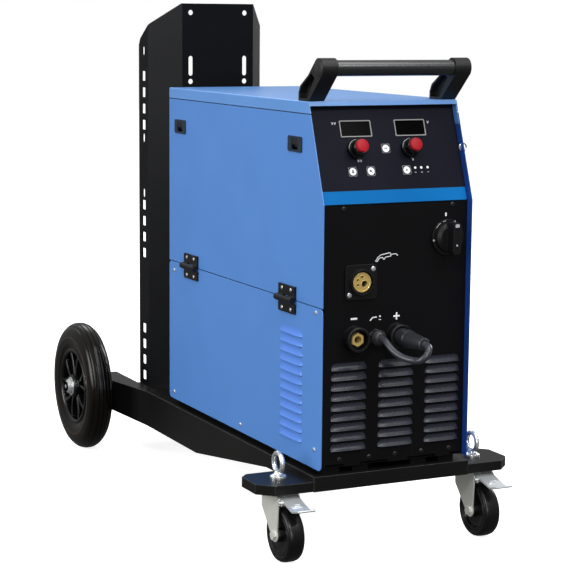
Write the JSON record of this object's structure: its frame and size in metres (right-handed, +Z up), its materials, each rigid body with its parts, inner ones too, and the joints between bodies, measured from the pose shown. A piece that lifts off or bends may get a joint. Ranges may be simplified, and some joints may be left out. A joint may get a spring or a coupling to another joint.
{
  "type": "mig welder on cart",
  "caption": "MIG welding machine on a cart with rear wheels, front swivel casters, hinged side door, bottle rack, push handle and torch connector.",
  "frame": {"origin": "on the floor under the middle of the whole cart, leaving out the jumper cable and its plug", "axes": "+Z up; the control panel faces -Y; the service door faces -X"},
  "size_m": [0.558, 1.2573, 0.985],
  "materials": {
    "chassis_black": "satin black powder coat",
    "casing_blue": "gloss blue paint",
    "panel_dark": "satin dark grey paint",
    "zinc": "bright zinc plate",
    "caster_rubber": "black rubber",
    "tyre": "black rubber tyre",
    "black_plastic": "matte black plastic",
    "grip_plastic": "semi-gloss black plastic",
    "overlay": "printed membrane, charcoal with a blue band",
    "display": "grey window frame and dark window",
    "knob": "black skirt with a red cap",
    "button": "dark grey key",
    "brass": "turned brass",
    "gland_grey": "grey nylon",
    "cable_rubber": "black cable sheath",
    "inner_zinc": "plain zinc sheet",
    "spool_plastic": "black spool with copper-coloured wire",
    "inner_plastic": "dark plastic",
    "feeder": "cast aluminium",
    "roller_steel": "hardened steel"
  },
  "bodies": {
    "frame": {"axle_stubs": "zinc", "base_pan": "panel_dark", "bottle_rack": "chassis_black", "brass_contacts": "brass", "cable_gland": "gland_grey", "caster_heads": "zinc", "caster_outriggers": "chassis_black", "chassis_deck": "chassis_black", "control_overlay": "overlay", "control_panel": "panel_dark", "cylinder_platform": "chassis_black", "display_modules": "display", "divider_wall": "inner_zinc", "eye_bolts": "zinc", "front_panel": "panel_dark", "handle_brackets": "black_plastic", "handle_grip": "grip_plastic", "hinge_fixed_leaves": "black_plastic", "jumper_cable": "cable_rubber", "jumper_plug": "black_plastic", "left_lower_panel": "casing_blue", "output_sockets": "black_plastic", "panel_screws": "zinc", "power_module": "feeder", "rear_fittings": "inner_plastic", "rear_panel": "panel_dark", "right_side_panel": "casing_blue", "roof_panel": "casing_blue", "side_rails": "chassis_black", "spool_mandrel": "inner_plastic", "switch_plate": "black_plastic", "torch_connector_body": "black_plastic", "wire_feeder": "feeder"},
    "door": {"service_door": "casing_blue", "hinge_door_leaves": "black_plastic", "latch_bezels": "black_plastic"},
    "latch_front": {"latch_slider_front": "black_plastic"},
    "latch_rear": {"latch_slider_rear": "black_plastic"},
    "caster_left": {"caster_fork_left": "zinc"},
    "caster_right": {"caster_fork_right": "zinc"},
    "caster_wheel_left": {"caster_wheel_left": "caster_rubber"},
    "caster_wheel_right": {"caster_wheel_right": "caster_rubber"},
    "brake_left": {"brake_pedal_left": "zinc"},
    "brake_right": {"brake_pedal_right": "zinc"},
    "wheel_left": {"rear_tyre_left": "tyre", "rear_hub_left": "black_plastic"},
    "wheel_right": {"rear_tyre_right": "tyre", "rear_hub_right": "black_plastic"},
    "voltage_knob": {"voltage_knob": "knob"},
    "wire_speed_knob": {"wire_speed_knob": "knob"},
    "mode_button": {"mode_button": "button"},
    "gas_test_button": {"gas_test_button": "button"},
    "wire_inch_button": {"wire_inch_button": "button"},
    "select_button": {"select_button": "button"},
    "main_switch": {"main_switch_knob": "black_plastic"},
    "wire_spool": {"wire_spool": "spool_plastic"},
    "drive_roller": {"drive_roller": "roller_steel"},
    "pressure_arm": {"pressure_arm": "feeder"},
    "idler_roller": {"idler_roller": "roller_steel"},
    "fan": {"fan_rotor": "inner_plastic"}
  },
  "joints": [
    {"name": "door_hinge", "type": "hinge", "parent": "frame", "child": "door", "pos_m": [-0.1585, 0, 0.4555], "axis": [0, -1, 0], "range_deg": [0, 150]},
    {"name": "latch_front_slide", "type": "slide", "parent": "door", "child": "latch_front", "axis": [0, 0, 1], "range_m": [-0.008, 0], "stiffness_N_per_m": 600, "springref_m": 0.002},
    {"name": "latch_rear_slide", "type": "slide", "parent": "door", "child": "latch_rear", "axis": [0, 0, 1], "range_m": [-0.008, 0], "stiffness_N_per_m": 600, "springref_m": 0.002},
    {"name": "caster_swivel_left", "type": "hinge", "parent": "frame", "child": "caster_left", "pos_m": [-0.2015, -0.4795, 0.12], "axis": [0, 0, 1], "continuous": true},
    {"name": "caster_spin_left", "type": "hinge", "parent": "caster_left", "child": "caster_wheel_left", "pos_m": [-0.2015, -0.5115, 0.05], "axis": [1, 0, 0], "continuous": true},
    {"name": "brake_pedal_left", "type": "hinge", "parent": "caster_left", "child": "brake_left", "pos_m": [-0.2015, -0.5275, 0.112], "axis": [1, 0, 0], "range_deg": [0, 12], "stiffness_Nm_per_rad": 1.5, "springref_deg": -11.46},
    {"name": "wheel_spin_left", "type": "hinge", "parent": "frame", "child": "wheel_left", "pos_m": [-0.2395, 0.4555, 0.14], "axis": [1, 0, 0], "continuous": true},
    {"name": "caster_swivel_right", "type": "hinge", "parent": "frame", "child": "caster_right", "pos_m": [0.2015, -0.4795, 0.12], "axis": [0, 0, 1], "continuous": true},
    {"name": "caster_spin_right", "type": "hinge", "parent": "caster_right", "child": "caster_wheel_right", "pos_m": [0.2015, -0.5115, 0.05], "axis": [1, 0, 0], "continuous": true},
    {"name": "brake_pedal_right", "type": "hinge", "parent": "caster_right", "child": "brake_right", "pos_m": [0.2015, -0.5275, 0.112], "axis": [1, 0, 0], "range_deg": [0, 12], "stiffness_Nm_per_rad": 1.5, "springref_deg": -11.46},
    {"name": "wheel_spin_right", "type": "hinge", "parent": "frame", "child": "wheel_right", "pos_m": [0.2395, 0.4555, 0.14], "axis": [1, 0, 0], "continuous": true},
    {"name": "voltage_knob_turn", "type": "hinge", "parent": "frame", "child": "voltage_knob", "pos_m": [-0.064, -0.49715, 0.72756], "axis": [0, -0.9421, 0.3355], "range_deg": [-135, 135]},
    {"name": "wire_speed_knob_turn", "type": "hinge", "parent": "frame", "child": "wire_speed_knob", "pos_m": [0.044, -0.49715, 0.72756], "axis": [0, -0.9421, 0.3355], "range_deg": [-135, 135]},
    {"name": "mode_button_press", "type": "slide", "parent": "frame", "child": "mode_button", "axis": [0, 0.9421, -0.3355], "range_m": [0, 0.0008], "stiffness_N_per_m": 600},
    {"name": "gas_test_button_press", "type": "slide", "parent": "frame", "child": "gas_test_button", "axis": [0, 0.9421, -0.3355], "range_m": [0, 0.0008], "stiffness_N_per_m": 600},
    {"name": "wire_inch_button_press", "type": "slide", "parent": "frame", "child": "wire_inch_button", "axis": [0, 0.9421, -0.3355], "range_m": [0, 0.0008], "stiffness_N_per_m": 600},
    {"name": "select_button_press", "type": "slide", "parent": "frame", "child": "select_button", "axis": [0, 0.9421, -0.3355], "range_m": [0, 0.0008], "stiffness_N_per_m": 600},
    {"name": "main_switch_turn", "type": "hinge", "parent": "frame", "child": "main_switch", "pos_m": [0.106, -0.5305, 0.57], "axis": [0, -1, 0], "range_deg": [0, 90]},
    {"name": "spool_spin", "type": "hinge", "parent": "frame", "child": "wire_spool", "pos_m": [-0.078, -0.0655, 0.61], "axis": [1, 0, 0], "continuous": true},
    {"name": "drive_roller_spin", "type": "hinge", "parent": "frame", "child": "drive_roller", "pos_m": [-0.0685, -0.3805, 0.4789], "axis": [1, 0, 0], "continuous": true},
    {"name": "pressure_arm_lift", "type": "hinge", "parent": "frame", "child": "pressure_arm", "pos_m": [-0.0685, -0.3405, 0.5255], "axis": [-1, 0, 0], "range_deg": [0, 60]},
    {"name": "idler_roller_spin", "type": "hinge", "parent": "pressure_arm", "child": "idler_roller", "pos_m": [-0.0685, -0.3805, 0.5161], "axis": [1, 0, 0], "continuous": true},
    {"name": "fan_spin", "type": "hinge", "parent": "frame", "child": "fan", "pos_m": [0.062, 0.1395, 0.56], "axis": [0, 1, 0], "continuous": true}
  ],
  "couplings": [
    {"joint": "idler_roller_spin", "follows": "drive_roller_spin", "ratio": -1}
  ]
}
